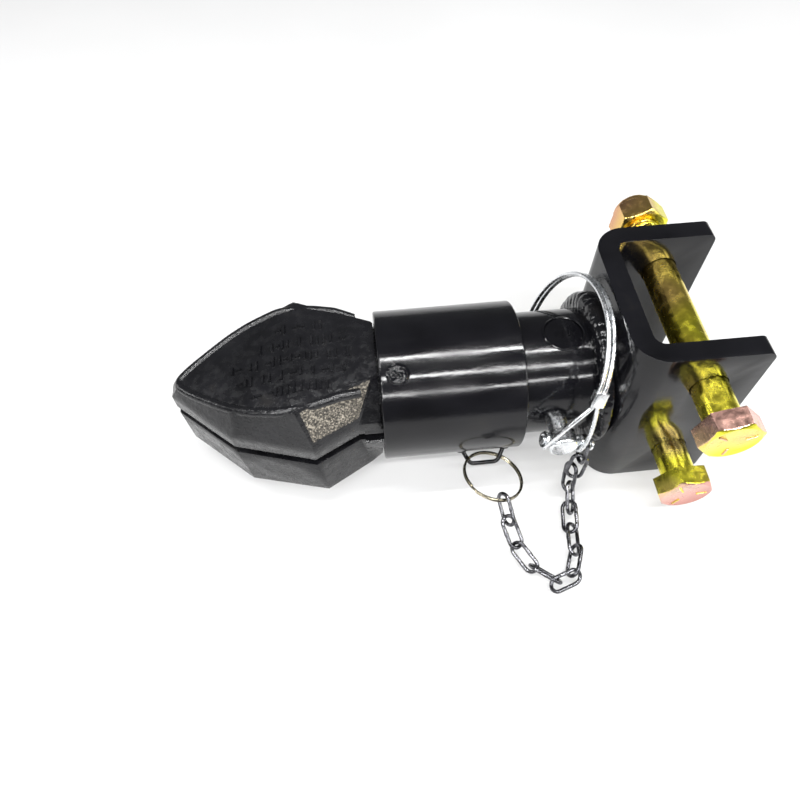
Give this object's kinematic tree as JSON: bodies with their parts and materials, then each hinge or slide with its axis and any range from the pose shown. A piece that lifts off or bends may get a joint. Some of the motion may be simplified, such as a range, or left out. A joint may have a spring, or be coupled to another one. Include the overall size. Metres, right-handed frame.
{
  "type": "trailer coupler",
  "caption": "Sleeve-lock ball coupler for a trailer: split socket, sliding collar, chained lock pin and bolt-on channel bracket.",
  "frame": {"origin": "centre of the ball socket", "axes": "+X along the tube to the nose, +Y towards the bolt heads and the lock pin's head, +Z across the jaws to the moving jaw"},
  "size_m": [0.2606, 0.1761, 0.0987],
  "materials": {
    "gloss_black": "glossy black paint over welded and rolled steel",
    "black_casting": "glossy black paint over a rough sand casting",
    "dark_steel": "plain dark steel",
    "yellow_zinc": "yellow chromate zinc plate, gold with pink and green tints",
    "nylon": "off-white nylon",
    "bright_zinc": "bright zinc plate",
    "ring_steel": "plain spring steel, slightly brassy",
    "chain_steel": "dull zinc plated wire"
  },
  "bodies": {
    "coupler": {"channel_bracket": "gloss_black", "coupler_tube": "gloss_black", "tube_weld": "gloss_black", "tail_plug": "gloss_black", "fixed_jaw": "black_casting", "jaw_pivot_pin": "dark_steel", "hitch_bolt_a": "yellow_zinc", "hitch_bolt_b": "yellow_zinc", "hitch_nut_a": "yellow_zinc", "hitch_nut_b": "yellow_zinc", "nut_insert_a": "nylon", "nut_insert_b": "nylon", "chain_link_01": "chain_steel", "chain_link_02": "chain_steel", "chain_link_03": "chain_steel", "chain_link_04": "chain_steel", "chain_link_05": "chain_steel", "chain_link_06": "chain_steel", "chain_link_07": "chain_steel", "chain_link_08": "chain_steel", "chain_link_09": "chain_steel", "chain_link_10": "chain_steel", "chain_link_11": "chain_steel", "chain_link_12": "chain_steel"},
    "collar": {"collar": "gloss_black", "collar_plug_weld": "gloss_black", "collar_staple": "gloss_black"},
    "moving_jaw": {"moving_jaw": "black_casting"},
    "lock_pin": {"lock_pin": "bright_zinc"},
    "bail": {"bail": "bright_zinc", "bail_ferrule": "bright_zinc"},
    "split_ring": {"split_ring": "ring_steel"}
  },
  "joints": [
    {"name": "collar_slide", "type": "slide", "parent": "coupler", "child": "collar", "axis": [-1, 0, 0], "range_m": [0, 0.03], "deforming": ["chain_link_01", "chain_link_02", "chain_link_03", "chain_link_04", "chain_link_05", "chain_link_06", "chain_link_07", "chain_link_08", "chain_link_09", "chain_link_10", "chain_link_11", "chain_link_12"]},
    {"name": "jaw_swing", "type": "hinge", "parent": "coupler", "child": "moving_jaw", "pos_m": [-0.058, 0, 0.01], "axis": [0, -1, 0], "range_deg": [0, 30]},
    {"name": "pin_pull", "type": "slide", "parent": "coupler", "child": "lock_pin", "axis": [0, 1, 0], "range_m": [0, 0.045]},
    {"name": "bail_swing", "type": "hinge", "parent": "lock_pin", "child": "bail", "pos_m": [-0.12, 0.0412, 0], "axis": [-0.9455, 0, -0.3256], "range_deg": [0, 90]},
    {"name": "ring_swing", "type": "hinge", "parent": "collar", "child": "split_ring", "pos_m": [-0.0825, 0.0296, -0.0266], "axis": [1, 0, 0], "range_deg": [-6, 18]}
  ],
  "couplings": [
    {"joint": "jaw_swing", "follows": "collar_slide", "rad_per_m": 17.453},
    {"joint": "pin_pull", "follows": "collar_slide", "ratio": 1.5},
    {"joint": "bail_swing", "follows": "collar_slide", "rad_per_m": 52.36}
  ]
}
